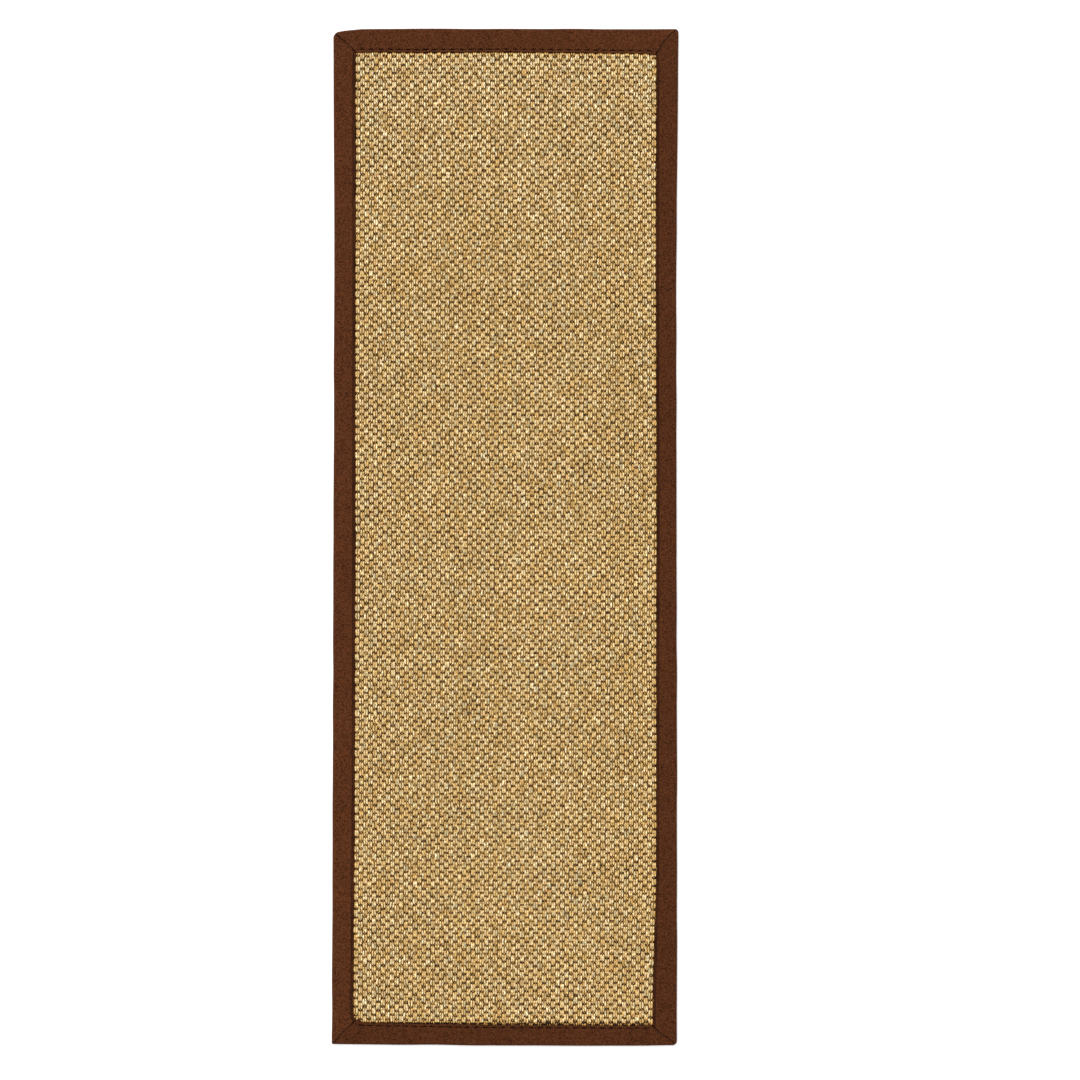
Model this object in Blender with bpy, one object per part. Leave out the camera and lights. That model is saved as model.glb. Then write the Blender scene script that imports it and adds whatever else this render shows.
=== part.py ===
"""Runner rug: woven seagrass on a latex backing, bound with mitred and sewn cotton tape.

The rug lies flat with its origin under its middle. +X is its right side, +Y its head end
and +Z its walking face. Every section is written as points of (inset, height): how far in
from the rug's outer edge, and how far up from the floor.
"""

import math

import bmesh
import bpy
from mathutils import Vector

# Overall size of the bound rug
RUG_LENGTH = 1.800
RUG_WIDTH = 0.610
CORNER_RADIUS = 0.007

# Layers of the rug
WEAVE_THICKNESS = 0.0076
BACKING_THICKNESS = 0.0026
BORDER_DROP = 0.0005

# Cotton binding tape, folded round the edge, with its raw edges turned under
TAPE_THICKNESS = 0.0007
TOP_BORDER_WIDTH = 0.0400
UNDER_BORDER_WIDTH = 0.0420
HEM_WIDTH = 0.0100
FOLD_RADIUS = 0.0045

# Sewing thread
THREAD_DIAMETER = 0.0005
STITCH_INSET = 0.0355
THREAD_SINK = 0.0004
BOBBIN_RECESS = 0.00005

# Space kept between pieces that lie against each other
CLEARANCE = 0.0003

# Smoothness of the round shapes
CORNER_STEPS = 4
EDGE_STEPS = 14
THREAD_SIDES = 8

# Sizes that follow from the ones above
FIELD_HEIGHT = BACKING_THICKNESS + CLEARANCE + WEAVE_THICKNESS
BORDER_HEIGHT = FIELD_HEIGHT - BORDER_DROP
HEM_THICKNESS = 2.0 * TAPE_THICKNESS
EDGE_RADIUS = min(FOLD_RADIUS, 0.48 * BORDER_HEIGHT)
WEAVE_BASE = BACKING_THICKNESS + CLEARANCE
TAPE_LAYER = TAPE_THICKNESS + CLEARANCE
HEM_LAYER = HEM_THICKNESS + CLEARANCE
GROOVE_WIDTH = THREAD_DIAMETER + 2.0 * CLEARANCE
BOBBIN_GROOVE_DEPTH = BOBBIN_RECESS + THREAD_DIAMETER + CLEARANCE

# Sides of the rug: its length along the edge, the middle of its outer edge and its turn
SIDES = {
    "foot": (RUG_WIDTH, (0.0, -RUG_LENGTH / 2.0), 0.0),
    "right": (RUG_LENGTH, (RUG_WIDTH / 2.0, 0.0), 90.0),
    "head": (RUG_WIDTH, (0.0, RUG_LENGTH / 2.0), 180.0),
    "left": (RUG_LENGTH, (-RUG_WIDTH / 2.0, 0.0), 270.0),
}

# Corners of the rug: which way they lie from its middle, and the sides that meet there
CORNERS = {
    "foot_left": (-1, -1, ("foot", "left")),
    "foot_right": (1, -1, ("foot", "right")),
    "head_right": (1, 1, ("head", "right")),
    "head_left": (-1, 1, ("head", "left")),
}


def clear_scene():
    """Remove every object that the scene starts with."""
    for thing in list(bpy.data.objects):
        bpy.data.objects.remove(thing, do_unlink=True)


def make_material(name, colour, roughness):
    """A plain finish of one colour."""
    material = bpy.data.materials.new(name)
    material.use_nodes = True
    shader = material.node_tree.nodes["Principled BSDF"]
    shader.inputs["Base Color"].default_value = (*colour, 1.0)
    shader.inputs["Roughness"].default_value = roughness
    shader.inputs["Metallic"].default_value = 0.0
    material.diffuse_color = (*colour, 1.0)
    return material


def add_object(name, mesh, parent, location=(0.0, 0.0, 0.0), turn=0.0):
    """Place a mesh in the scene as a sub-part of the rug."""
    thing = bpy.data.objects.new(name, mesh)
    bpy.context.collection.objects.link(thing)
    thing.parent = parent
    thing.location = location
    thing.rotation_euler.z = math.radians(turn)
    return thing


def skin(name, rings, material):
    """A closed mesh over a row of closed loops of points, capped at both ends."""
    shape = bmesh.new()
    loops = [[shape.verts.new(point) for point in ring] for ring in rings]
    count = len(loops[0])
    for lower, upper in zip(loops, loops[1:]):
        for i in range(count):
            j = (i + 1) % count
            shape.faces.new((lower[i], lower[j], upper[j], upper[i]))
    shape.faces.new(loops[0])
    shape.faces.new(loops[-1])
    bmesh.ops.remove_doubles(shape, verts=shape.verts, dist=1e-6)
    bmesh.ops.recalc_face_normals(shape, faces=shape.faces)
    mesh = bpy.data.meshes.new(name)
    shape.to_mesh(mesh)
    shape.free()
    mesh.materials.append(material)
    mesh.shade_smooth()
    mesh.set_sharp_from_angle(angle=math.radians(35.0))
    return mesh


def corner_points(inset, trim=0.0):
    """Points round half a corner, as (along the side, in from the side), from its mitre.

    The points lie `inset` inside the outer edge. The first one stops `trim` short of the
    diagonal on which two sides meet.
    """
    radius = CORNER_RADIUS - inset
    centre = max(CORNER_RADIUS, inset)
    if radius <= trim * math.sqrt(2.0):
        return [(inset + trim * math.sqrt(2.0), inset)] * (CORNER_STEPS + 1)
    turn = math.acos(trim / radius) - math.pi / 4.0
    points = []
    for step in range(CORNER_STEPS + 1):
        angle = turn * (1.0 - step / CORNER_STEPS)
        points.append((centre - radius * math.sin(angle), centre - radius * math.cos(angle)))
    return points


def plan_outline(inset):
    """The rug's outline seen from above, `inset` inside its outer edge."""
    half = corner_points(inset)
    corner = list(reversed(half)) + [(across, along) for along, across in half[1:]]
    points = []
    for side_x, side_y, _ in CORNERS.values():
        quarter = [(side_x * (RUG_WIDTH / 2.0 - along), side_y * (RUG_LENGTH / 2.0 - across))
                   for along, across in corner]
        if side_x * side_y > 0:
            quarter.reverse()
        points.extend(quarter)
    return points


def edge_inset(height, layer):
    """How far in the rounded edge is at a height, measured `layer` inside the outer face."""
    below = EDGE_RADIUS - height
    above = height - (BORDER_HEIGHT - EDGE_RADIUS)
    rise = max(below, above, 0.0)
    radius = EDGE_RADIUS - layer
    return EDGE_RADIUS - math.sqrt(max(radius ** 2 - rise ** 2, 0.0))


def rounded_edge(layer, low, high):
    """Section points up the rounded edge between two heights, closer together at its ends."""
    points = []
    for step in range(EDGE_STEPS + 1):
        share = 0.5 - 0.5 * math.cos(math.pi * step / EDGE_STEPS)
        height = low + (high - low) * share
        points.append((edge_inset(height, layer), height))
    return points


def groove_section(face_height, floor_height):
    """Section points of the groove that the stitch line lies in."""
    near = STITCH_INSET - GROOVE_WIDTH / 2.0
    far = STITCH_INSET + GROOVE_WIDTH / 2.0
    return [(near, face_height), (near, floor_height), (far, floor_height), (far, face_height)]


def backing_section():
    """The backing's side, from its underside to its top, stepped over the tape's hem."""
    inner = UNDER_BORDER_WIDTH + CLEARANCE
    step = UNDER_BORDER_WIDTH - HEM_WIDTH - CLEARANCE
    points = [(inner, 0.0), (inner, HEM_LAYER), (step, HEM_LAYER), (step, TAPE_LAYER)]
    return points + rounded_edge(TAPE_LAYER, TAPE_LAYER, BACKING_THICKNESS)


def weave_section():
    """The weave's side, from its base to its top, pressed down where the tape covers it."""
    inner = TOP_BORDER_WIDTH + CLEARANCE
    step = TOP_BORDER_WIDTH - HEM_WIDTH - CLEARANCE
    tape_floor = BORDER_HEIGHT - TAPE_LAYER
    hem_floor = BORDER_HEIGHT - HEM_LAYER
    points = rounded_edge(TAPE_LAYER, WEAVE_BASE, tape_floor)
    return points + [(step, tape_floor), (step, hem_floor), (inner, hem_floor), (inner, FIELD_HEIGHT)]


def tape_section():
    """The folded tape's closed section, with its two turned-under hems and its grooves."""
    under_step = UNDER_BORDER_WIDTH - HEM_WIDTH
    top_step = TOP_BORDER_WIDTH - HEM_WIDTH
    top = BORDER_HEIGHT
    points = [(UNDER_BORDER_WIDTH, 0.0)]
    points += reversed(groove_section(0.0, BOBBIN_GROOVE_DEPTH))
    points += rounded_edge(0.0, 0.0, top)
    points += groove_section(top, top - THREAD_SINK)
    points += [(TOP_BORDER_WIDTH, top), (TOP_BORDER_WIDTH, top - HEM_THICKNESS)]
    points += [(top_step, top - HEM_THICKNESS), (top_step, top - TAPE_THICKNESS)]
    points += reversed(rounded_edge(TAPE_THICKNESS, TAPE_THICKNESS, top - TAPE_THICKNESS))
    points += [(under_step, TAPE_THICKNESS), (under_step, HEM_THICKNESS)]
    points += [(UNDER_BORDER_WIDTH, HEM_THICKNESS)]
    return points


def build_layer(name, section, material, parent):
    """A layer that fills the rug's whole outline."""
    rings = []
    for inset, height in section:
        rings.append([(x, y, height) for x, y in plan_outline(inset)])
    add_object(name, skin(name, rings, material), parent)


def tape_mesh(name, side_length, material):
    """One side's tape along local X, from the middle of its outer edge, cut to its mitres."""
    section = tape_section()
    ends = [corner_points(inset, CLEARANCE / 2.0) for inset, _ in section]
    rings = []
    for step in range(CORNER_STEPS + 1):
        rings.append([(end[step][0] - side_length / 2.0, end[step][1], height)
                      for end, (_, height) in zip(ends, section)])
    for ring in list(reversed(rings)):
        rings.append([(-x, y, z) for x, y, z in ring])
    return skin(name, rings, material)


def thread_mesh(name, length, material):
    """A straight run of thread along local X."""
    radius = THREAD_DIAMETER / 2.0
    rings = []
    for x in (-length / 2.0, length / 2.0):
        ring = []
        for side in range(THREAD_SIDES):
            angle = 2.0 * math.pi * (side + 0.5) / THREAD_SIDES
            ring.append((x, radius * math.cos(angle), radius * math.sin(angle)))
        rings.append(ring)
    return skin(name, rings, material)


def build_borders(material, parent):
    """The four tapes. Opposite sides share one mesh."""
    long_tape = tape_mesh("long_tape", RUG_LENGTH, material)
    short_tape = tape_mesh("short_tape", RUG_WIDTH, material)
    borders = {}
    for side, (length, middle, turn) in SIDES.items():
        mesh = long_tape if length == RUG_LENGTH else short_tape
        borders[side] = add_object("border_" + side, mesh, parent, (*middle, 0.0), turn)
    return borders


def build_stitch_lines(material, parent):
    """The needle thread above and the bobbin thread below each side's stitch line."""
    needle_height = BORDER_HEIGHT - THREAD_SINK + CLEARANCE + THREAD_DIAMETER / 2.0
    bobbin_height = BOBBIN_RECESS + THREAD_DIAMETER / 2.0
    for side, (length, middle, turn) in SIDES.items():
        run = length - 2.0 * (STITCH_INSET + GROOVE_WIDTH)
        inward = Vector((-middle[0], -middle[1], 0.0)).normalized()
        line = Vector((*middle, 0.0)) + inward * STITCH_INSET
        for name, height in (("needle_thread_", needle_height), ("bobbin_thread_", bobbin_height)):
            mesh = thread_mesh(name + side, run, material)
            add_object(name + side, mesh, parent, (line.x, line.y, height), turn)


def groove_cutter(name, length, parent, location, turn):
    """The space cut for a mitre's thread. It is not a piece of the rug."""
    half_length = length / 2.0
    half_width = GROOVE_WIDTH / 2.0
    corners = [(-half_length, -half_width), (half_length, -half_width),
               (half_length, half_width), (-half_length, half_width)]
    rings = [[(x, y, z) for x, y in corners] for z in (-THREAD_SINK, THREAD_DIAMETER)]
    cutter = add_object(name, skin(name, rings, None), parent, location, turn)
    cutter.hide_render = True
    cutter.display_type = "WIRE"
    return cutter


def build_mitres(borders, material, parent):
    """The thread that closes each corner's mitre, sunk in a groove across both tapes."""
    first_inset = EDGE_RADIUS + CLEARANCE
    last_inset = STITCH_INSET - GROOVE_WIDTH
    run = (last_inset - first_inset) * math.sqrt(2.0)
    middle_inset = (first_inset + last_inset) / 2.0
    lift = CLEARANCE - THREAD_SINK + THREAD_DIAMETER / 2.0
    for corner, (side_x, side_y, sides) in CORNERS.items():
        x = side_x * (RUG_WIDTH / 2.0 - middle_inset)
        y = side_y * (RUG_LENGTH / 2.0 - middle_inset)
        turn = 45.0 * side_x * side_y
        mesh = thread_mesh("mitre_thread_" + corner, run, material)
        add_object("mitre_thread_" + corner, mesh, parent, (x, y, BORDER_HEIGHT + lift), turn)
        cutter = groove_cutter("mitre_groove_" + corner, run + 2.0 * CLEARANCE, parent,
                               (x, y, BORDER_HEIGHT), turn)
        for side in sides:
            cut = borders[side].modifiers.new("mitre_" + corner, "BOOLEAN")
            cut.operation = "DIFFERENCE"
            cut.object = cutter


def main():
    """Build the whole rug."""
    clear_scene()
    seagrass = make_material("seagrass", (0.52, 0.39, 0.19), 0.62)
    latex = make_material("latex", (0.36, 0.30, 0.20), 0.78)
    cotton = make_material("cotton", (0.085, 0.028, 0.012), 0.85)
    thread = make_material("thread", (0.035, 0.014, 0.008), 0.60)
    rug = bpy.data.objects.new("rug", None)
    bpy.context.collection.objects.link(rug)
    build_layer("latex_backing", backing_section(), latex, rug)
    build_layer("seagrass_weave", weave_section(), seagrass, rug)
    borders = build_borders(cotton, rug)
    build_stitch_lines(thread, rug)
    build_mitres(borders, thread, rug)


main()
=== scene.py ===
"""The looks of a bound seagrass runner rug, laid out as a Blender add-on and run as a script."""

import math

import bpy
import numpy as np
from bpy.props import FloatProperty, FloatVectorProperty, PointerProperty
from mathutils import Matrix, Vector


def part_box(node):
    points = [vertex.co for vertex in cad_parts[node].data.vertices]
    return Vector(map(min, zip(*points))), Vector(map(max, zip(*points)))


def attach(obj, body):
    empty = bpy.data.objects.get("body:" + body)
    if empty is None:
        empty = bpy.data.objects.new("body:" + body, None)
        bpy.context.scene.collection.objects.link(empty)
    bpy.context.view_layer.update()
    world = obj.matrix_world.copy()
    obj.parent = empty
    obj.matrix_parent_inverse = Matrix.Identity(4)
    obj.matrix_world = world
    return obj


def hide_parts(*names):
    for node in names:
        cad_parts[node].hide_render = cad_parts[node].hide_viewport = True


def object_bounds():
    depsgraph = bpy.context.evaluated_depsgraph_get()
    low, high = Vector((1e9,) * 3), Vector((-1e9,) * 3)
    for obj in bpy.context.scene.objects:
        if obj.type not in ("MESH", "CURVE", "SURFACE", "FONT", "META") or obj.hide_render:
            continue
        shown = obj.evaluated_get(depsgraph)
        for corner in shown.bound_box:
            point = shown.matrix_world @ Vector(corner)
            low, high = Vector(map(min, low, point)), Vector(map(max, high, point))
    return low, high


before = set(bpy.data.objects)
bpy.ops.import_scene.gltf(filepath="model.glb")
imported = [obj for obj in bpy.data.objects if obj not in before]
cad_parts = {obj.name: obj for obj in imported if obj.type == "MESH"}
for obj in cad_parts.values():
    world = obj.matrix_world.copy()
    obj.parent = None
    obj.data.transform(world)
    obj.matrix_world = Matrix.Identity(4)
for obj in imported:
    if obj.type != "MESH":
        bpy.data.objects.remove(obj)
CAD_LOW, CAD_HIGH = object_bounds()

bl_info = {
    "name": "Bound seagrass runner rug",
    "version": (1, 0, 0),
    "blender": (4, 5, 0),
    "location": "View3D > Sidebar > Rug",
    "description": "Weaves, backs, binds and sews a seagrass runner rug on its packed frame",
    "category": "Object",
}

MM = 0.001
BODY = "root"


# ---- Places read from the frame ----

def node_low(name):
    """The lowest corner of a node of the frame."""
    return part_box(name)[0]


def node_high(name):
    """The highest corner of a node of the frame."""
    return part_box(name)[1]


RUG_WIDTH = CAD_HIGH[0] - CAD_LOW[0]
RUG_LENGTH = CAD_HIGH[1] - CAD_LOW[1]
WEAVE_BASE = node_low("seagrass_weave")[2]
WEAVE_TOP = node_high("seagrass_weave")[2]
BACKING_TOP = node_high("latex_backing")[2]
BORDER_TOP = node_high("border_left")[2]
STITCH_X = abs(sum(corner[0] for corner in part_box("needle_thread_right"))) / 2.0
STITCH_Y = abs(sum(corner[1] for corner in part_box("needle_thread_head"))) / 2.0
STITCH_INSET = RUG_WIDTH / 2.0 - STITCH_X
UNDER_WIDTH = node_high("border_left")[0] - node_low("border_left")[0]
CORNER_NAMES = ("head_left", "head_right", "foot_left", "foot_right")
SHORT_SIDES = ("head", "foot")

# How light each side's tape is, beside the lightest
TAPE_TONE = {"left": 1.0, "right": 0.88, "head": 1.0, "foot": 0.88}

# Sides of the rug: length, middle of the outer edge, and turn of the line along it
SIDES = {
    "foot": (RUG_WIDTH, (0.0, -RUG_LENGTH / 2.0), 0.0),
    "right": (RUG_LENGTH, (RUG_WIDTH / 2.0, 0.0), 90.0),
    "head": (RUG_WIDTH, (0.0, RUG_LENGTH / 2.0), 180.0),
    "left": (RUG_LENGTH, (-RUG_WIDTH / 2.0, 0.0), 270.0),
}

# How far out of square the foot end was cut
FOOT_SKEW = 0.8 * MM

# How far each side strays from straight, in millimetres: places along it from the foot or the left,
# and how far its outer edge and its inner edge lie towards the right or the head there
EDGE_DRIFT = {
    "left": ((-900, -450, 0, 450, 900),
             (-0.5, 0.0, 0.6, 1.0, -1.0),
             (-2.5, -0.5, -0.5, -1.0, -1.8)),
    "right": ((-900, -800, -600, -450, 0, 450, 900),
              (1.0, 1.0, 0.9, 0.6, -1.2, -2.6, 0.5),
              (-2.0, -1.5, 4.0, 3.5, 3.5, 1.4, 1.6)),
    "foot": ((-305, -150, 0, 150, 305),
             (0.5, 0.4, -0.7, -0.2, 1.5),
             (0.0, -2.2, -3.6, -3.8, -3.4)),
    "head": ((-305, -285, -255, -150, 0, 150, 305),
             (-6.5, -3.0, 0.0, 1.2, 1.3, 1.3, 1.8),
             (-0.5, -0.5, -0.5, -1.2, 0.2, -1.2, -3.2)),
}

# How each corner was sewn, by which way it lies from the rug's middle: the round of its outside,
# how far its tape reaches over the weave's corner, and how far its mitre bows
CORNERS = {
    (-1, 1): (9.0 * MM, 2.5 * MM, 0.0),
    (1, 1): (6.0 * MM, 4.5 * MM, 4.5 * MM),
    (1, -1): (8.0 * MM, 2.0 * MM, 0.5 * MM),
    (-1, -1): (2.5 * MM, 9.0 * MM, -1.0 * MM),
}

# Insets over which a side's drift changes from its outer edge's to its inner edge's, and then fades out
DRIFT_CHANGE = (6.0 * MM, 34.0 * MM)
DRIFT_FADE = (46.0 * MM, 150.0 * MM)

# Insets over which the tape's reach over a corner of the weave grows and then fades out
COVER_GROWTH = (32.0 * MM, 40.0 * MM)
COVER_FADE = (44.0 * MM, 60.0 * MM)

# How far from the mitre a corner's cover and its bow spread, and where the bow ends
COVER_SPREAD = 11.0 * MM
BOW_SPREAD = 16.0 * MM
BOW_END = 40.0 * MM

# How far an edge wavers by hand, over what length, and the insets over which that fades out
EDGE_WAVER = 0.40 * MM
WAVER_LENGTH = 0.06
WAVER_FADE = (6.0 * MM, 30.0 * MM)


# ---- Settings ----

class RugWeaveSettings(bpy.types.PropertyGroup):
    """Sizes and colours of the yarns."""
    pair_pitch: FloatProperty(
        name="Pair pitch", description="Distance from one pair of lengthwise yarns to the next",
        default=7.9 * MM, unit="LENGTH")
    row_pitch: FloatProperty(
        name="Row pitch", description="Mean distance from one crosswise yarn to the next",
        default=7.13 * MM, unit="LENGTH")
    yarn_width: FloatProperty(
        name="Lengthwise yarn width", description="Width of a lengthwise yarn where it lies on top",
        default=4.0 * MM, unit="LENGTH")
    yarn_height: FloatProperty(
        name="Lengthwise yarn height", description="Height of a lengthwise yarn, flattened by weaving",
        default=3.4 * MM, unit="LENGTH")
    cross_width: FloatProperty(
        name="Crosswise yarn width", description="Thickness of a crosswise yarn",
        default=2.7 * MM, unit="LENGTH")
    cross_crimp: FloatProperty(
        name="Crosswise crimp", description="How far a crosswise yarn rises and falls from its middle",
        default=0.75 * MM, unit="LENGTH")
    straw: FloatVectorProperty(
        name="Straw", description="Main colour of the seagrass", subtype="COLOR",
        default=(0.665, 0.492, 0.193), min=0.0, max=1.0)
    pale: FloatVectorProperty(
        name="Pale", description="Colour of the driest blades", subtype="COLOR",
        default=(0.92, 0.80, 0.51), min=0.0, max=1.0)
    gold: FloatVectorProperty(
        name="Gold", description="Colour of the darker blades", subtype="COLOR",
        default=(0.55, 0.325, 0.088), min=0.0, max=1.0)
    # Painted shade: amber put on the yarns' sides and slopes.
    slope_shade_amber: FloatVectorProperty(
        name="Amber", description="Colour of the yarns' sides and slopes", subtype="COLOR",
        default=(0.545, 0.303, 0.075), min=0.0, max=1.0)
    # Painted shade: the near-black brown put in the deepest dips and dark spots of the weave.
    brown: FloatVectorProperty(
        name="Brown", description="Colour of the deepest hollows", subtype="COLOR",
        default=(0.020, 0.0040, 0.0005), min=0.0, max=1.0)
    russet: FloatVectorProperty(
        name="Russet", description="Colour of the redder blades", subtype="COLOR",
        default=(0.61, 0.385, 0.15), min=0.0, max=1.0)
    green: FloatVectorProperty(
        name="Green", description="Colour of the blades that kept some green", subtype="COLOR",
        default=(0.46, 0.44, 0.28), min=0.0, max=1.0)


class RugTapeSettings(bpy.types.PropertyGroup):
    """Sizes and colours of the binding tape."""
    thickness: FloatProperty(
        name="Thickness", description="Thickness of one layer of the tape",
        default=0.7 * MM, unit="LENGTH")
    hem: FloatProperty(
        name="Hem", description="Width of the raw edge that is turned under",
        default=10.0 * MM, unit="LENGTH")
    fold: FloatProperty(
        name="Fold", description="How far in the fold round the rug's edge is rounded",
        default=4.5 * MM, unit="LENGTH")
    ring: FloatProperty(
        name="Mesh step", description="Length of the tape's mesh between two sections",
        default=2.0 * MM, unit="LENGTH")
    twill_pitch: FloatProperty(
        name="Twill pitch", description="Distance from one twill line to the next",
        default=1.1 * MM, unit="LENGTH")
    brown: FloatVectorProperty(
        name="Brown", description="Main colour of the tape", subtype="COLOR",
        default=(0.124, 0.038, 0.0125), min=0.0, max=1.0)
    dark: FloatVectorProperty(
        name="Dark", description="Colour between the tape's threads", subtype="COLOR",
        default=(0.028, 0.007, 0.002), min=0.0, max=1.0)
    # Also brightened into the wear and painted sheen on the outer fold and the inner edge.
    red: FloatVectorProperty(
        name="Red", description="Colour of the redder threads and worn folds", subtype="COLOR",
        default=(0.160, 0.038, 0.014), min=0.0, max=1.0)
    olive: FloatVectorProperty(
        name="Olive", description="Colour of the duller threads", subtype="COLOR",
        default=(0.092, 0.042, 0.012), min=0.0, max=1.0)
    # Painted shade: the near-black put where the stitches pull the tape down.
    pit_shade: FloatVectorProperty(
        name="Deep", description="Colour of the stitched-down hollows", subtype="COLOR",
        default=(0.010, 0.003, 0.001), min=0.0, max=1.0)


class RugThreadSettings(bpy.types.PropertyGroup):
    """Sizes and colour of the sewing thread."""
    thickness: FloatProperty(
        name="Thickness", description="Diameter of the thread", default=0.6 * MM, unit="LENGTH")
    stitch: FloatProperty(
        name="Stitch", description="Length of one stitch", default=5.2 * MM, unit="LENGTH")
    ply_turn: FloatProperty(
        name="Ply turn", description="Length in which the thread's three plies turn once",
        default=3.0 * MM, unit="LENGTH")
    colour: FloatVectorProperty(
        name="Colour", description="Colour of the thread", subtype="COLOR",
        default=(0.012, 0.004, 0.002), min=0.0, max=1.0)


class RugBackingSettings(bpy.types.PropertyGroup):
    """Sizes and colours of the latex backing."""
    dimple: FloatProperty(
        name="Dimple", description="How deep the weave shows through the underside",
        default=0.28 * MM, unit="LENGTH")
    cream: FloatVectorProperty(
        name="Cream", description="Colour of the latex", subtype="COLOR",
        default=(0.50, 0.40, 0.24), min=0.0, max=1.0)
    tan: FloatVectorProperty(
        name="Tan", description="Colour of aged latex", subtype="COLOR",
        default=(0.33, 0.23, 0.11), min=0.0, max=1.0)


class RugStageSettings(bpy.types.PropertyGroup):
    """Floor, light and camera."""
    view_width: FloatProperty(
        name="View width", description="Width of the floor that the camera sees",
        default=1.912, unit="LENGTH")
    lens: FloatProperty(
        name="Lens", description="Focal length of the camera in millimetres", default=100.0)
    fill: FloatProperty(
        name="Fill", description="Strength of the light from all round", default=0.66)
    floor_glow: FloatProperty(
        name="Floor glow", description="Light that comes up through the white floor", default=0.35)
    key: FloatProperty(
        name="Key", description="Strength of the soft light from the head end and the left", default=2.0)


# ---- Smooth irregularity ----

def smooth_noise(x, y, seed):
    """Values between -1 and 1 that change smoothly over the plane, about one to a unit."""
    table = np.random.default_rng(seed).uniform(-1.0, 1.0, (64, 256))
    x, y = np.asarray(x, float) + 20.0, np.asarray(y, float) + 120.0
    column, row = np.floor(x).astype(int), np.floor(y).astype(int)
    across, up = x - column, y - row
    across = across * across * (3.0 - 2.0 * across)
    up = up * up * (3.0 - 2.0 * up)
    near = table[column % 64, row % 256] * (1 - up) + table[column % 64, (row + 1) % 256] * up
    far = (table[(column + 1) % 64, row % 256] * (1 - up)
           + table[(column + 1) % 64, (row + 1) % 256] * up)
    return near * (1 - across) + far * across


def smooth_step(value, low, high):
    """0 below low, 1 above high, and a smooth rise between them."""
    share = np.clip((value - low) / (high - low), 0.0, 1.0)
    return share * share * (3.0 - 2.0 * share)


# ---- Meshes made of rings ----

def ring_mesh(name, points):
    """One mesh of closed tubes over points of strands x rings x sides x 3.

    Each ring turns from the strand's side to its top, where side x top points along it.
    """
    strands, rings, sides = points.shape[:3]
    index = np.arange(strands * rings * sides).reshape(strands, rings, sides)
    turned = np.roll(index, -1, axis=2)
    quads = np.stack([index[:, :-1], turned[:, :-1], turned[:, 1:], index[:, 1:]], -1).reshape(-1, 4)
    caps = np.concatenate([index[:, 0, ::-1], index[:, -1]])
    corners = np.concatenate([quads.ravel(), caps.ravel()])
    totals = np.concatenate([np.full(len(quads), 4), np.full(len(caps), sides)])

    mesh = bpy.data.meshes.new(name)
    mesh.vertices.add(points.size // 3)
    mesh.vertices.foreach_set("co", points.astype(np.float32).ravel())
    mesh.loops.add(len(corners))
    mesh.loops.foreach_set("vertex_index", corners.astype(np.int32))
    mesh.polygons.add(len(totals))
    mesh.polygons.foreach_set("loop_start", np.concatenate([[0], np.cumsum(totals)[:-1]]).astype(np.int32))
    mesh.update(calc_edges=True)
    mesh.shade_smooth()
    lay_out_rings(mesh, points)
    return mesh


def lay_out_rings(mesh, points):
    """A UV map with the tubes opened flat, cut into lengths and laid side by side."""
    strands, rings, sides = points.shape[:3]
    length = float(np.linalg.norm(np.diff(points[0].mean(axis=1), axis=0), axis=1).sum())
    section = points[0, rings // 2]
    steps = np.linalg.norm(np.roll(section, -1, axis=0) - section, axis=1)
    girth = np.concatenate([[0.0], np.cumsum(steps)])
    cuts = max(1, round(math.sqrt(length / (girth[-1] * strands))))
    per_cut = math.ceil((rings - 1) / cuts)
    ring = np.arange(rings - 1)
    band = (np.arange(strands)[:, None] * cuts + ring // per_cut)[..., None]
    share = 0.04 + 0.92 * girth / girth[-1]
    low = (band + share[:-1]) / (strands * cuts)
    high = (band + share[1:]) / (strands * cuts)
    left = np.broadcast_to(((ring % per_cut) / per_cut)[None, :, None], low.shape)
    right = left + 1.0 / per_cut
    corners = np.stack([left, low, left, high, right, high, right, low], -1).reshape(-1, 2)
    caps = np.zeros((strands * 2 * sides, 2)) + 0.5 / (strands * cuts)
    layer = mesh.uv_layers.new(name="OFBake", do_init=False)
    layer.uv.foreach_set("vector", np.concatenate([corners, caps]).astype(np.float32).ravel())


def along_rows(values, turn):
    """Numbers kept for each row, read at places given in rows; both have one line a strand."""
    return np.stack([np.interp(place, np.arange(values.shape[1]), one) for place, one in zip(turn, values)])


def strand_points(centre, half_width, half_height, relief):
    """Points of round strands about their centre lines, scaled by a relief for each side."""
    along = np.gradient(centre, axis=1)
    along /= np.linalg.norm(along, axis=-1, keepdims=True)
    side = np.cross([0.0, 0.0, 1.0], along)
    side /= np.linalg.norm(side, axis=-1, keepdims=True)
    up = np.cross(along, side)
    angle = 2.0 * np.pi * np.arange(relief.shape[2]) / relief.shape[2]
    across = half_width[..., None] * np.cos(angle) * relief
    rise = half_height[..., None] * np.sin(angle) * relief
    return centre[:, :, None] + across[..., None] * side[:, :, None] + rise[..., None] * up[:, :, None]


def store_shade(mesh, name, values):
    """Keep one number for each vertex, for the materials to read."""
    data = mesh.attributes.new(name, "FLOAT", "POINT").data
    data.foreach_set("value", np.asarray(values, np.float32).ravel())


def add_piece(name, mesh, slot, material, *replaced):
    """Put a finished mesh in the scene, on the rug's body."""
    mesh.materials.append(material)
    piece = bpy.data.objects.new(name, mesh)
    bpy.context.collection.objects.link(piece)
    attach(piece, BODY)
    for node in replaced:
        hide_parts(node)
    return piece


# ---- Plan of the rug ----

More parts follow.
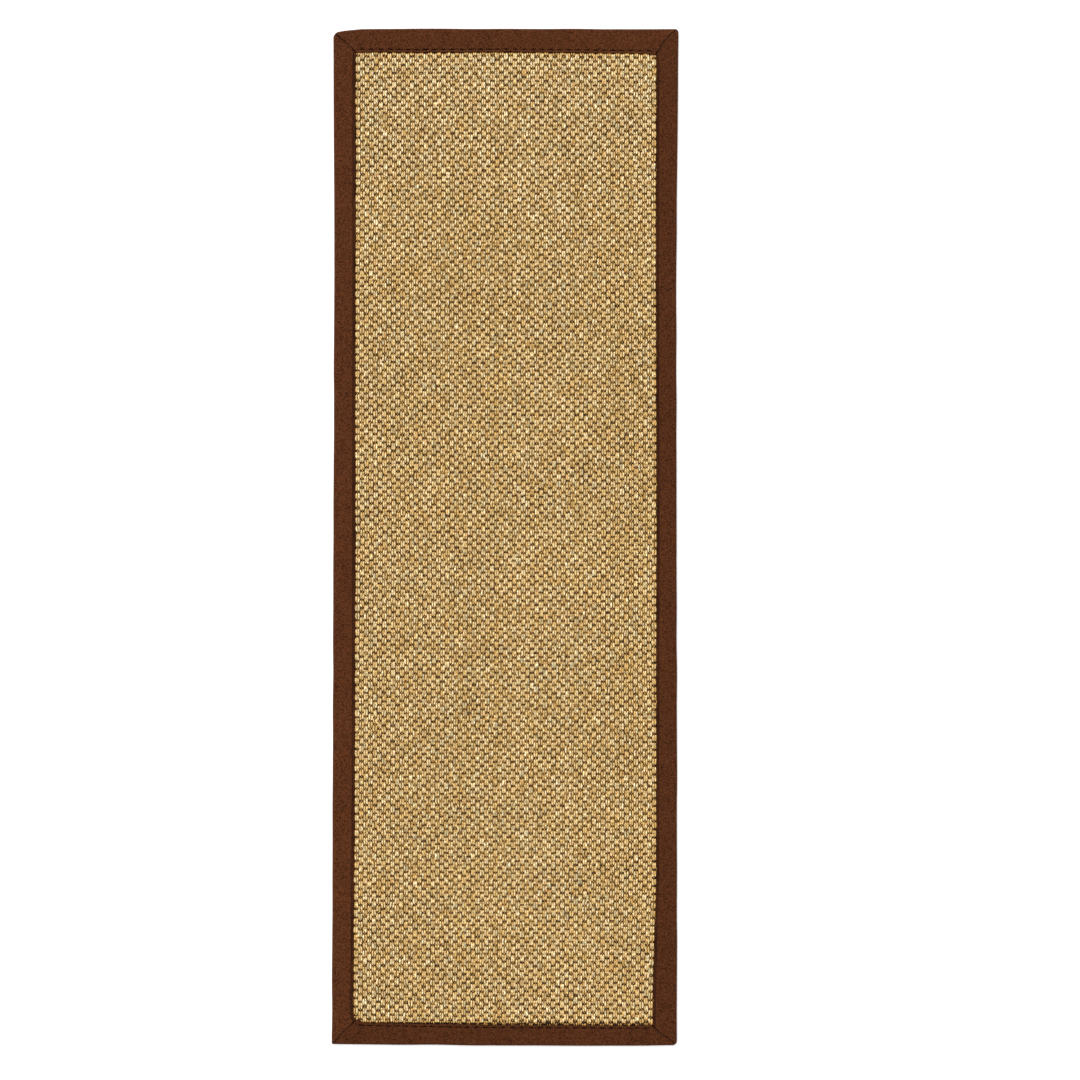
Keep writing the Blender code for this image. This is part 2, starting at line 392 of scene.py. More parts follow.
def strayed(x, y):
    """Places of a straight-sided plan, moved by how far each side strays from straight."""
    shift_x, shift_y = np.zeros(x.shape), np.zeros(y.shape)
    for side, (places, outer, inner) in EDGE_DRIFT.items():
        upright = side in ("left", "right")
        sign = 1.0 if side in ("right", "head") else -1.0
        inset = RUG_WIDTH / 2.0 - sign * x if upright else RUG_LENGTH / 2.0 - sign * y
        along = (y if upright else x) / MM
        near = smooth_step(inset, *DRIFT_CHANGE)
        far = smooth_step(inset, *DRIFT_FADE)
        shift = np.interp(along, places, outer) * (1.0 - near)
        shift = shift + np.interp(along, places, inner) * near * (1.0 - far)
        if upright:
            shift_x += shift * MM
        else:
            shift_y += shift * MM
    shift_y -= FOOT_SKEW * (2.0 * x / RUG_WIDTH) * smooth_step(-y, 0.0, RUG_LENGTH / 2.0)
    return x + shift_x, y + shift_y


def settled(x, y):
    """Places of a square-cornered plan, moved to the rug's rounded corners and bowed mitres."""
    x, y = np.array(x, float), np.array(y, float)
    drift_x, drift_y = strayed(x, y)
    drift_x, drift_y = drift_x - x, drift_y - y
    for (side_x, side_y), (radius, reach, bow) in CORNERS.items():
        u, v = RUG_WIDTH / 2.0 - side_x * x, RUG_LENGTH / 2.0 - side_y * y
        inset = np.minimum(u, v)
        inner = smooth_step(inset, *COVER_GROWTH) * (1.0 - smooth_step(inset, *COVER_FADE))
        cover = reach * inner * np.exp(-((u - v) / COVER_SPREAD) ** 2)
        middle = np.sin(np.pi * np.clip(inset / BOW_END, 0.0, 1.0))
        bend = bow / math.sqrt(2.0) * middle * np.exp(-((u - v) / BOW_SPREAD) ** 2)
        x, y = x - side_x * (cover + bend), y - side_y * (cover - bend)

        u, v = radius - (RUG_WIDTH / 2.0 - side_x * x), radius - (RUG_LENGTH / 2.0 - side_y * y)
        inside = (u > 0) & (v > 0)
        shrink = np.where(inside, np.maximum(u, v) / np.maximum(np.hypot(u, v), 1e-9), 1.0)
        x = np.where(inside, side_x * (RUG_WIDTH / 2.0 - radius + u * shrink), x)
        y = np.where(inside, side_y * (RUG_LENGTH / 2.0 - radius + v * shrink), y)
    return x + drift_x, y + drift_y


def from_side(side, along, inset, height):
    """Points given along one side of the rug, in from its outer edge, and up from the floor."""
    middle, turn = SIDES[side][1], math.radians(SIDES[side][2])
    waver = EDGE_WAVER * smooth_noise(along / WAVER_LENGTH, SIDES[side][2] + 0.0 * along, 41)
    inset = inset + waver * (1.0 - smooth_step(inset, *WAVER_FADE))
    x = middle[0] + along * math.cos(turn) - inset * math.sin(turn)
    y = middle[1] + along * math.sin(turn) + inset * math.cos(turn)
    x, y = settled(x, y)
    return np.stack([x, y, np.broadcast_to(height, x.shape)], -1)


# ---- The lay of the weave ----

# How far the tape's walking face reaches in past its stitches, and half the field that it leaves
TOP_LIP = 4.5 * MM
FIELD_X = STITCH_X - TOP_LIP
FIELD_Y = STITCH_Y - TOP_LIP

# Rows hidden under the tape at each end, and how the yarns are shared out in pieces
SPARE_ROWS = 2
PAIRS_IN_A_PIECE = 5
CROSSWISE_PIECES = 9

# Depth below the crests that gets the full painted shade of a dip
FULL_SHADE_DEPTH = 4.2 * MM

# Rings of a lengthwise yarn's mesh from a crest to the next dip, as shares of a row
YARN_SIDES = 8
YARN_RINGS = (0.0, 0.36, 0.60, 0.74, 0.87)

# Rings of a crosswise yarn's mesh where it shows and where a pair covers it, as shares of a pair
CROSS_SIDES = 6
SHOWN_RINGS = (-0.42, -0.33, -0.25, -0.17, -0.08, 0.0, 0.08, 0.17, 0.25, 0.33, 0.42)
BURIED_RINGS = (-0.45, -0.15, 0.15, 0.45)

# Lengths in which the two kinds of yarn turn once
YARN_TWIST = 17.0 * MM
CROSS_TWIST = 14.0 * MM

# How far each yarn of a pair lies from the pair's middle, and how much further where it dips
PAIR_OFFSET = 0.243
DIP_OFFSET = 0.010

# Where a yarn starts to dive and where it is down, between a crest and a dip
DIVE_START = 0.56
DIVE_END = 1.00

# How far hand weaving shifts a yarn sideways, how far it lifts a crest, and how far all crests sink
YARN_JITTER = 0.36 * MM
CREST_JITTER = 0.14 * MM
CREST_SINK = 0.10 * MM

# How much narrower a yarn is in its dip, and the share of the way down over which it narrows
DIP_TAPER = 0.28
TAPER_RANGE = (0.30, 0.85)

# Painted shade of the dark spots of a crosswise yarn beside its crest, where the pairs dive: how dark, how
# far from the crest, how wide
SPOT_SHADE = 1.75
SPOT_PLACE = 0.24
SPOT_WIDTH = 0.145

# Seed, length and rows of the slow change in how closely the yarns lie, which both kinds share
CLOSENESS_SEED = 31
CLOSENESS_LENGTH = 0.028
CLOSENESS_ROWS = 0.17


def row_places(row_pitch):
    """Where each crosswise yarn lies along the rug, with wider rows near both ends."""
    count = round(2.0 * FIELD_Y / row_pitch) + 2 * SPARE_ROWS + 1
    along = np.linspace(-1.0, 1.0, count - 1) * FIELD_Y
    near_end = 0.06
    spacing = 1.0 + 0.08 * np.exp((along - FIELD_Y) / near_end) + 0.06 * np.exp((-along - FIELD_Y) / near_end)
    spacing += 0.02 * smooth_noise(along / 0.14, 0.0 * along, 11)
    spacing += 0.02 * smooth_noise(along / 0.02, 0.0 * along, 12)
    places = np.concatenate([[0.0], np.cumsum(spacing)])
    shown = places[-1 - SPARE_ROWS] - places[SPARE_ROWS]
    places = (places - places[SPARE_ROWS]) / shown * 2.0 * FIELD_Y - FIELD_Y
    return places


def pressed(x, y):
    """How far the tape presses the weave down: 1 is not at all."""
    ragged = 1.3 * MM * smooth_noise(x / 0.0021, y / 0.02, 25)
    end = 0.52 + 0.48 * smooth_step(FIELD_Y - np.abs(y) + ragged, -2.0 * MM, 5.0 * MM)
    side = 0.60 + 0.40 * smooth_step(FIELD_X - np.abs(x), -3.0 * MM, 2.0 * MM)
    least = np.minimum(end, side)
    for (side_x, side_y), (_, reach, _) in CORNERS.items():
        from_corner = FIELD_X - side_x * x + FIELD_Y - side_y * y - 1.1 * reach
        least = np.minimum(least, 0.50 + 0.50 * smooth_step(from_corner, -2.0 * MM, 4.0 * MM))
    return least


def lay(points):
    """Shift points of the even weave to where they lie in the hand-made one."""
    x, y, z = points[..., 0], points[..., 1], points[..., 2]
    shift_x = 1.1 * MM * smooth_noise(x / 0.30, y / 0.22, 21)
    shift_x = shift_x + 0.50 * MM * smooth_noise(x / 0.014, y / 0.016, 22)
    shift_y = 1.2 * MM * smooth_noise(x / 0.12, y / 0.10, 23)
    shift_y = shift_y + 1.35 * MM * smooth_noise(x / 0.009, y / 0.016, 24)
    x, y = x + shift_x * smooth_step(FIELD_X - np.abs(x), -4.0 * MM, 12.0 * MM), y + shift_y
    height = WEAVE_BASE + (z - WEAVE_BASE) * pressed(x, y)
    x, y = strayed(x, y)
    return np.stack([x, y, height], -1)


def depth_below_crests(points):
    """How far points lie below the weave's crests, as painted shade: 0 at its crests, and 1 where the yarns
    dip, with painted shadow added along the tape's inner edges.
    """
    x, y = np.abs(points[..., 0]), np.abs(points[..., 1])
    tape_lip_shadow = np.exp(-((y - FIELD_Y) / (1.6 * MM)) ** 2) + 0.4 * np.exp(-((x - FIELD_X) / (0.9 * MM)) ** 2)
    return (WEAVE_TOP - points[..., 2]) / FULL_SHADE_DEPTH + 0.6 * tape_lip_shadow


def lengthwise_yarns(settings, rows, first_column, columns, seed):
    """The mesh of some neighbouring pairs of lengthwise yarns, over and under each row."""
    random = np.random.default_rng(seed)
    column = np.repeat(np.arange(first_column, first_column + columns), 2)
    hand = np.tile([-1.0, 1.0], columns)[:, None]
    strands = len(column)

    fall = np.array(YARN_RINGS)
    climb = 1.0 - np.append(fall[1:], 1.0)[::-1]
    gap = np.arange(len(rows) - 1)[:, None]
    turn = [np.append(np.where((gap + one) % 2 == 0, fall, climb) + gap, len(rows) - 1.0) for one in column]
    turn = np.stack(turn)
    away = 1.0 - np.abs((turn + column[:, None]) % 2.0 - 1.0)
    crossing = ((turn + column[:, None] + 1.0) // 2.0).astype(int) - column[:, None] // 2
    crossing -= crossing.min()
    wild = along_rows(random.normal(0.0, 1.0, (strands, len(rows))), turn)
    lean = along_rows(random.normal(0.0, 1.0, (strands, len(rows))), turn)

    height, width = settings.yarn_height, settings.yarn_width
    middle = (WEAVE_BASE + WEAVE_TOP) / 2.0
    swing = (WEAVE_TOP - WEAVE_BASE - height) / 2.0
    close = smooth_noise(settings.pair_pitch * column[:, None] / CLOSENESS_LENGTH, turn * CLOSENESS_ROWS,
                         CLOSENESS_SEED)
    dive = smooth_step(away, DIVE_START + 0.07 * wild + 0.05 * close, DIVE_END + 0.03 * lean)
    beside = hand * (PAIR_OFFSET + DIP_OFFSET * dive)
    x = settings.pair_pitch * (column[:, None] + beside) + YARN_JITTER * lean
    y = np.stack([np.interp(one, np.arange(len(rows)), rows) for one in turn])
    z = middle + swing * (1.0 - 2.0 * dive) + np.where(away < 0.6, CREST_JITTER * wild - CREST_SINK, 0.0)
    centre = lay(np.stack([x, y, z], -1))

    half_width = 0.5 * width * (1.0 - DIP_TAPER * smooth_step(away, *TAPER_RANGE) + 0.06 * wild)
    half_height = 0.5 * height * pressed(centre[..., 0], centre[..., 1]) * (1.0 + 0.04 * lean)
    angle = 2.0 * np.pi * np.arange(YARN_SIDES) / YARN_SIDES
    twist = 2.0 * np.pi * (y / YARN_TWIST + random.uniform(0, 1, (strands, 1)) + 0.12 * wild)
    ridge = 0.055 * np.cos(2.0 * angle - twist[..., None])
    ridge = ridge - 0.045 * np.cos(2.0 * angle - 2.6 * twist[..., None])
    points = strand_points(centre, half_width, half_height, 1.0 + ridge)
    mesh = ring_mesh("lengthwise", points)

    tone = random.normal(0.0, 0.35, (strands, 1)) + 0.8 * smooth_step(y, 0.55 * FIELD_Y, FIELD_Y)
    tone += np.take_along_axis(random.normal(0.0, 0.9, (strands, crossing.max() + 1)), crossing, 1)
    store_shade(mesh, "tone", np.repeat(tone[..., None], YARN_SIDES, axis=2))
    # Painted shade: darker with depth below the crests, on the tops of the ends that dive under a row, on the
    # yarns' flanks and in the grooves between their plies.
    tip_shade = smooth_step(away, 0.56, 0.80)[..., None] * np.clip(1.15 * np.sin(angle), 0.0, 1.0)
    flank_shade = np.clip(np.abs(np.cos(angle)) - 0.5, 0.0, 0.5)
    ply_groove_shade = np.clip(np.cos(2.0 * angle - twist[..., None] * 2.6), 0.0, 1.0) ** 2
    depth = depth_below_crests(points) + 0.08 * lean[..., None]
    store_shade(mesh, "hollow_shade", depth + 1.2 * tip_shade + 0.45 * flank_shade + 0.16 * ply_groove_shade)
    return mesh


def crosswise_yarns(settings, rows, first_row, last_row, columns, seed):
    """The mesh of some neighbouring crosswise yarns, which rise between the pairs."""
    random = np.random.default_rng(seed)
    column = np.arange(columns) - columns // 2
    number = np.arange(first_row, last_row)
    strands = len(number)
    rings = np.array(BURIED_RINGS), np.array(SHOWN_RINGS)
    place = np.stack([np.concatenate([one + rings[(one + row) % 2] for one in column]) for row in number])
    count = place.shape[1]

    over = -np.cos(np.pi * (place + number[:, None]))
    wild = random.normal(0.0, 1.0, (strands, count))
    middle = (WEAVE_BASE + WEAVE_TOP) / 2.0
    x = settings.pair_pitch * place
    y = rows[number][:, None] + 0.18 * MM * wild
    z = middle + settings.cross_crimp * np.sign(over) * np.abs(over) ** 1.4 + 0.05 * MM * wild
    centre = lay(np.stack([x, y, z], -1))

    half_width = 0.5 * settings.cross_width * (1.0 + 0.06 * wild)
    half_height = 0.5 * settings.cross_width * pressed(centre[..., 0], centre[..., 1])
    angle = 2.0 * np.pi * np.arange(CROSS_SIDES) / CROSS_SIDES
    twist = 2.0 * np.pi * (x / CROSS_TWIST + random.uniform(0, 1, (strands, 1)))
    ridge = 0.05 * np.cos(2.0 * angle - twist[..., None])
    points = strand_points(centre, half_width, half_height, 1.0 + ridge)
    mesh = ring_mesh("crosswise", points)

    tone = random.normal(0.0, 0.5, (strands, count))
    store_shade(mesh, "tone", np.repeat(tone[..., None], CROSS_SIDES, axis=2))
    # Painted shade: dark spots beside the crest where the pairs dive past, weaker where the weave lies close,
    # and a little less shade on the crest itself.
    nearest = np.round(place).astype(int)
    close = smooth_noise(x / CLOSENESS_LENGTH, number[:, None] * CLOSENESS_ROWS, CLOSENESS_SEED)
    dark = SPOT_SHADE - 0.45 * close
    dark += 0.35 * np.take_along_axis(random.normal(0.0, 1.0, (strands, columns)), nearest + columns // 2, 1)
    shaded = dark * np.exp(-((np.abs(place - nearest) - SPOT_PLACE) / SPOT_WIDTH) ** 2) - 0.18
    store_shade(mesh, "hollow_shade", depth_below_crests(points) + shaded[..., None])
    return mesh


# ---- The binding tape ----

# Creases drawn in the tape by its corners, as (reach, inset) of both ends and height, in millimetres
CREASES = {
    "right": (((12.0, 6.0), (52.0, 34.0), 0.45),
              ((18.0, 4.0), (74.0, 33.0), 0.35),
              ((30.0, 5.0), (96.0, 33.0), 0.25)),
    "head": (((14.0, 5.0), (58.0, 33.0), 0.35),
             ((26.0, 5.0), (84.0, 33.0), 0.28)),
}
CREASE_WIDTH = 1.3 * MM

# How far the stitches pull the tape down at least and between the pairs, and half the pit's width,
# all in millimetres
PIT_LEAST = 0.15
PIT_PULL = 2.60
PIT_WIDTH = 0.95

# How far from a mitre the pull of the stitches starts and is full
PULL_START = (2.0 * MM, 9.0 * MM)

# How far down the tape is pressed inside the stitches of the long sides, in millimetres
LONG_SIDE_PRESS = 1.25

# Drop of the tape that gets the full painted shade, on the short sides and on the long sides
SHORT_SHADE_DROP = 2.2 * MM
LONG_SHADE_DROP = 3.0 * MM

# Rings of a tape's mesh that fan out from its mitre, and the slit left between two tapes there
FAN_RINGS = 26
MITRE_SLIT = 0.12 * MM

# Steps of a section's mesh: by the lip, over the top, under the rug, and by the stitches there
LIP_STEP = 0.6 * MM
TOP_STEP = 1.3 * MM
UNDER_STEP = 2.5 * MM
UNDER_LIP_STEP = 0.75 * MM
HEM_STEP = 1.0 * MM

def near_line(along, inset, start, end, width):
    """1 on a straight line between two (along, inset) places, falling to 0 beside it and at its ends."""
    run = (end[0] - start[0], end[1] - start[1])
    length = math.hypot(*run)
    share = ((along - start[0]) * run[0] + (inset - start[1]) * run[1]) / length ** 2
    aside = ((along - start[0]) * run[1] - (inset - start[1]) * run[0]) / length
    fade = smooth_step(share, 0.0, 0.35) * (1.0 - smooth_step(share, 0.55, 1.0))
    return np.exp(-(aside / width) ** 2) * fade


def tape_lift(pair_pitch, side, along, inset):
    """How far the tape's walking face lies above its even height, stitched down and drawn."""
    reach = SIDES[side][0] / 2.0 - np.abs(along)
    from_stitch = (inset - STITCH_INSET) / MM
    seed = 50 + round(SIDES[side][2])
    if side in SHORT_SIDES:
        drift = 2.5 * MM * smooth_noise(along / 0.05, 0.0 * along, seed + 1)
        beat = np.cos(np.pi * (along + drift) / pair_pitch)
        pull = smooth_step(beat + 0.35 * smooth_noise(along / 0.02, 0.0 * along, seed + 2), -0.20, 0.35)
        pull *= smooth_step(reach - STITCH_INSET, *PULL_START)
        lift = -(PIT_LEAST + PIT_PULL * pull) * np.exp(-(from_stitch / PIT_WIDTH) ** 2)
        push = np.cos(2.0 * np.pi * (along + drift) / pair_pitch)
        lift += smooth_step(from_stitch, 0.5, 3.0) * (0.10 + 0.25 * push)
    else:
        lift = -LONG_SIDE_PRESS * smooth_step(from_stitch, -2.2, 1.2)
        lift -= 0.35 * np.exp(-(from_stitch / 0.9) ** 2)
        ruffle = smooth_noise(along / 0.011, inset / 0.01, seed + 3)
        lift += 0.25 * smooth_step(from_stitch, 0.5, 3.5) * ruffle
    lift += 0.20 * smooth_noise(along / 0.045, inset / 0.02, seed + 4)
    lift += 0.09 * smooth_noise(along / 0.0075, inset / 0.0075, seed + 5)
    lift -= 0.18 * np.exp(-((inset - 9.0 * MM) / (3.0 * MM)) ** 2)
    lift -= 0.75 * np.exp(-((reach - inset) / (1.2 * MM)) ** 2)
    lift += 0.30 * np.exp(-((reach - inset - 3.5 * MM) / (2.0 * MM)) ** 2)
    half = SIDES[side][0] / 2.0
    for start, end, height in CREASES.get(side, ()):
        start = (half - start[0] * MM, start[1] * MM)
        end = (half - end[0] * MM, end[1] * MM)
        lift += height * near_line(along, inset, start, end, CREASE_WIDTH)
    return lift * MM


def tape_section(settings):
    """The folded tape's section, as insets, heights, and how much each point moves with its top."""
    layer, fold = settings.thickness, settings.fold
    top_edge, top = RUG_WIDTH / 2.0 - FIELD_X, BORDER_TOP
    half_turn = np.radians(np.linspace(-90.0, 90.0, 7))
    round_edge = np.radians(np.linspace(90.0, 270.0, 15))
    insets = [top_edge - layer + layer * np.cos(half_turn)]
    heights = [top - layer + layer * np.sin(half_turn)]
    across = np.concatenate([np.arange(top_edge - layer - LIP_STEP, STITCH_INSET - 3.0 * MM, -LIP_STEP),
                             np.arange(STITCH_INSET - 3.5 * MM, fold + 0.5 * MM, -TOP_STEP)])
    insets += [across, fold + fold * np.cos(round_edge)]
    heights += [np.full(len(across), top), top / 2.0 + top / 2.0 * np.sin(round_edge)]
    under_lip = np.arange(STITCH_INSET - 1.5 * MM, UNDER_WIDTH - layer - 0.5 * MM, UNDER_LIP_STEP)
    across = np.concatenate([np.arange(fold + UNDER_STEP, STITCH_INSET - 2.0 * MM, UNDER_STEP), under_lip])
    insets += [across, UNDER_WIDTH - layer + layer * np.cos(half_turn)]
    heights += [np.zeros(len(across)), layer + layer * np.sin(half_turn)]
    lining = np.radians(np.linspace(270.0, 90.0, 7))
    step = 0.3 * MM
    hem_face = np.arange(STITCH_INSET - 4.0 * MM, top_edge - layer - 0.5 * MM, HEM_STEP)
    insets += [[UNDER_WIDTH - settings.hem, UNDER_WIDTH - settings.hem - step],
               fold + (fold - layer) * np.cos(lining),
               [STITCH_INSET / 2.0, top_edge - settings.hem - step, top_edge - settings.hem], hem_face]
    heights += [[2.0 * layer, layer], top / 2.0 + (top / 2.0 - layer) * np.sin(lining),
                [top - layer, top - layer, top - 2.0 * layer], np.full(len(hem_face), top - 2.0 * layer)]
    insets, heights = np.concatenate(insets), np.concatenate(heights)
    return insets, heights, smooth_step(heights, 1.5 * MM, top - 1.5 * MM)


def tape_mesh(settings, pair_pitch, side):
    """One side's tape, folded round the edge and cut to its mitres."""
    half = SIDES[side][0] / 2.0
    section, height, top_share = tape_section(settings)
    fan = np.linspace(0.0, 1.0, FAN_RINGS)[:, None] ** 1.5
    corner_reach = section + MITRE_SLIT + (UNDER_WIDTH + 4.0 * MM - section) * fan
    steps = max(2, round((half - corner_reach[-1, 0]) / settings.ring))
    straight = np.linspace(corner_reach[-1, 0], half, steps)[1:]
    reach = np.concatenate([corner_reach, np.broadcast_to(straight[:, None], (len(straight), len(section)))])
    along = np.concatenate([reach - half, (half - reach)[-2::-1]])

    inset = np.broadcast_to(section, along.shape)
    wander = 0.45 * smooth_noise(along / 0.012, inset * 0.0, 60)
    wander = wander + 0.35 * smooth_noise(along / 0.004, inset * 0.0, 61)
    if side in SHORT_SIDES:
        wander = wander - 0.20 * np.cos(2.0 * np.pi * along / pair_pitch)
    inset = inset + wander * MM * smooth_step(inset, 33.0 * MM, 40.0 * MM) * top_share
    lift = tape_lift(pair_pitch, side, along, inset)
    under = 0.12 * MM * (1.0 + smooth_noise(along / 0.02, inset / 0.02, 62))
    under = under + 0.35 * MM * np.exp(-((inset - STITCH_INSET) / (1.0 * MM)) ** 2)
    floor = np.where(height < BORDER_TOP / 2.0, under * (1.0 - top_share), 0.0)
    points = from_side(side, along, inset, height + lift * top_share + floor)
    mesh = ring_mesh("border_tape_" + side, points[None])

    reach = half - np.abs(along)
    # Painted shade along the mitre's seam, where the two tapes meet.
    mitre_seam_shade = np.exp(-((reach - inset) / (1.5 * MM)) ** 2)
    # Wear and painted sheen: redder on the rounded outer fold and along the tape's inner edge.
    wear_and_sheen = np.exp(-(inset / (1.3 * MM)) ** 2) * smooth_step(height, 2.0 * MM, 7.0 * MM)
    wear_and_sheen = np.maximum(wear_and_sheen, 0.4 * smooth_step(inset, 38.5 * MM, 40.0 * MM))
    store_shade(mesh, "wear_and_sheen", wear_and_sheen)
    store_shade(mesh, "tone", np.full(along.shape, TAPE_TONE[side]))
    # Painted shade: darker where the stitches pull the tape down, and along the mitre's seam.
    depth = SHORT_SHADE_DROP if side in SHORT_SIDES else LONG_SHADE_DROP
    store_shade(mesh, "hollow_shade", np.clip(-lift / depth, 0.0, 1.0) * top_share + 0.5 * mitre_seam_shade)
    return mesh


# ---- Sewing thread ----

THREAD_SIDES = 9
PLY_RELIEF = 0.16

# Mesh step along a row of stitches, and also the half width of its needle holes
STITCH_STEP = 0.55 * MM

# How far the thread goes down into its holes on the walking face and up into them underneath
NEEDLE_DIP = 1.2 * MM
BOBBIN_RISE = 1.0 * MM

# Length of one stitch of a mitre, how far it steps across the seam, and its number of rings
MITRE_STITCH = 4.2 * MM
MITRE_STEP = 1.1 * MM
MITRE_RINGS = 140

def thread_mesh(settings, name, centre):
    """A three-ply thread along one line of points."""
    length = np.concatenate([[0.0], np.cumsum(np.linalg.norm(np.diff(centre, axis=0), axis=1))])
    angle = 2.0 * np.pi * np.arange(THREAD_SIDES) / THREAD_SIDES
    relief = 1.0 + PLY_RELIEF * np.cos(3.0 * (angle - 2.0 * np.pi * length[:, None] / settings.ply_turn))
    radius = np.full((1, len(centre)), settings.thickness / 2.0)
    return ring_mesh(name, strand_points(centre[None], radius, radius, relief[None]))


def stitch_line(settings, pair_pitch, side, under):
    """Points of a row of stitches along one side, on the walking face or underneath."""
    half = SIDES[side][0] / 2.0 - STITCH_INSET - 1.0 * MM
    along = np.linspace(-half, half, round(2.0 * half / STITCH_STEP))
    in_stitch = (along / settings.stitch + (0.5 if under else 0.0)) % 1.0
    hole = np.exp(-(np.minimum(in_stitch, 1.0 - in_stitch) * settings.stitch / STITCH_STEP) ** 2)
    lean = 0.22 * MM * (in_stitch - 0.5) + 0.25 * MM * smooth_noise(along / 0.03, 0.0 * along, 63)
    inset = STITCH_INSET + lean
    radius = settings.thickness / 2.0
    if under:
        height = 0.12 * MM + radius + BOBBIN_RISE * hole
    else:
        height = BORDER_TOP + tape_lift(pair_pitch, side, along, inset) + 0.6 * radius - NEEDLE_DIP * hole
    return from_side(side, along, inset, height)


def mitre_line(settings, pair_pitch, corner):
    """Points of the thread that closes a corner's mitre, stepping from one tape to the other."""
    side_y, side_x = corner.split("_")
    first, last = settings.thickness + 4.5 * MM, STITCH_INSET - 1.5 * MM
    inset = np.linspace(first, last, MITRE_RINGS)
    step = smooth_step(np.abs((inset * math.sqrt(2.0) / MITRE_STITCH) % 2.0 - 1.0), 0.35, 0.65) - 0.5
    aside = MITRE_STEP * step / math.sqrt(2.0)
    sign_x, sign_y = (1 if side_x == "right" else -1), (1 if side_y == "head" else -1)
    x, y = settled(sign_x * (RUG_WIDTH / 2.0 - inset - aside), sign_y * (RUG_LENGTH / 2.0 - inset + aside))
    lift = tape_lift(pair_pitch, side_x, RUG_LENGTH / 2.0 - inset - np.abs(aside), inset)
    height = BORDER_TOP + lift + settings.thickness * (0.25 - 0.9 * (1.0 - 4.0 * step ** 2))
    return np.stack([x, y, height], -1)


# ---- The latex backing ----

# The backing's hidden upper face takes every so many of the underside's columns
UPPER_STEP = 8

# Height of the backing's underside over the tape, and over the tape's turned hem
OVER_TAPE = 1.0 * MM
OVER_HEM = 1.7 * MM


def backing_mesh(settings, pair_pitch, row_pitch):
    """The latex sheet, stepped up over the tape's hem, with the weave showing through it."""
    steps = (1.3 * MM, 3.5 * MM, UNDER_WIDTH - 10.4 * MM, UNDER_WIDTH - 10.0 * MM,
             UNDER_WIDTH + 0.3 * MM, UNDER_WIDTH + 0.7 * MM)

    def grid(half, pitch):
        """Places from one edge to the other, at the weave's own spacing inside the tape."""
        count = int((half - steps[-1]) / (pitch / 2.0))
        inner = np.arange(-count, count + 1) * pitch / 2.0
        edge = half - np.array(steps)
        return np.concatenate([-edge, inner, edge[::-1]])

    across = grid(RUG_WIDTH / 2.0, pair_pitch)
    along = grid(RUG_LENGTH / 2.0, row_pitch)[::-1]
    x, y = np.meshgrid(across, along)
    inset = np.minimum(RUG_WIDTH / 2.0 - np.abs(x), RUG_LENGTH / 2.0 - np.abs(y))
    rise = np.interp(inset, [steps[0], steps[2], steps[3], steps[4], steps[5]],
                     [OVER_TAPE, OVER_TAPE, OVER_HEM, OVER_HEM, 0.0])
    dimple = settings.dimple * (0.5 + 0.5 * np.cos(np.pi * x / pair_pitch) * np.cos(np.pi * y / row_pitch))
    dimple += 0.12 * MM * (1.0 + smooth_noise(x / 0.06, y / 0.09, 71))
    bottom = rise + dimple * smooth_step(inset, steps[5], steps[5] + 3.0 * MM)
    x, y = settled(x, y)
    under = np.stack([x, y, bottom], -1)
    upper = np.stack([x, y, np.full(x.shape, BACKING_TOP)], -1)[:, ::-UPPER_STEP]
    return ring_mesh("latex_sheet", np.concatenate([under, upper], axis=1)[None])


# ---- Materials ----

# Length over which the wave texture repeats when its scale is 1
WAVE_PERIOD = math.pi / 10.0


def add_node(tree, kind, inputs=None, **settings):
    """A shader node, with each named input set to a value or linked from a socket."""
    node = tree.nodes.new("ShaderNode" + kind)
    for name, value in settings.items():
        setattr(node, name, value)
    for name, value in (inputs or {}).items():
        if isinstance(value, bpy.types.NodeSocket):
            tree.links.new(value, node.inputs[name])
        else:
            node.inputs[name].default_value = value
    return node


def blend_colours(tree, share, first, second):
    """The first colour where the share is 0 and the second where it is 1."""
    node = add_node(tree, "Mix", data_type="RGBA")
    sockets = {socket.identifier: socket for socket in node.inputs}
    tree.links.new(share, sockets["Factor_Float"])
    for name, colour in (("A_Color", first), ("B_Color", second)):
        if isinstance(colour, bpy.types.NodeSocket):
            tree.links.new(colour, sockets[name])
        else:
            sockets[name].default_value = (*colour, 1.0)
    return {socket.identifier: socket for socket in node.outputs}["Result_Color"]


def share_between(tree, value, low, high):
    """0 where the value is under low, 1 where it is over high, and smooth between."""
    node = add_node(tree, "MapRange", {"Value": value, "From Min": low, "From Max": high},
                    interpolation_type="SMOOTHSTEP")
    return node.outputs["Result"]


def new_group(name, inputs, outputs):
    """A shader node group with named sockets, and its ends inside."""
    group = bpy.data.node_groups.new(name, "ShaderNodeTree")
    for title, kind in inputs:
        group.interface.new_socket(title, in_out="INPUT", socket_type="NodeSocket" + kind)
    for title, kind in outputs:
        group.interface.new_socket(title, in_out="OUTPUT", socket_type="NodeSocket" + kind)
    entry = group.nodes.new("NodeGroupInput")
    leave = group.nodes.new("NodeGroupOutput")
    return group, entry.outputs, leave.inputs


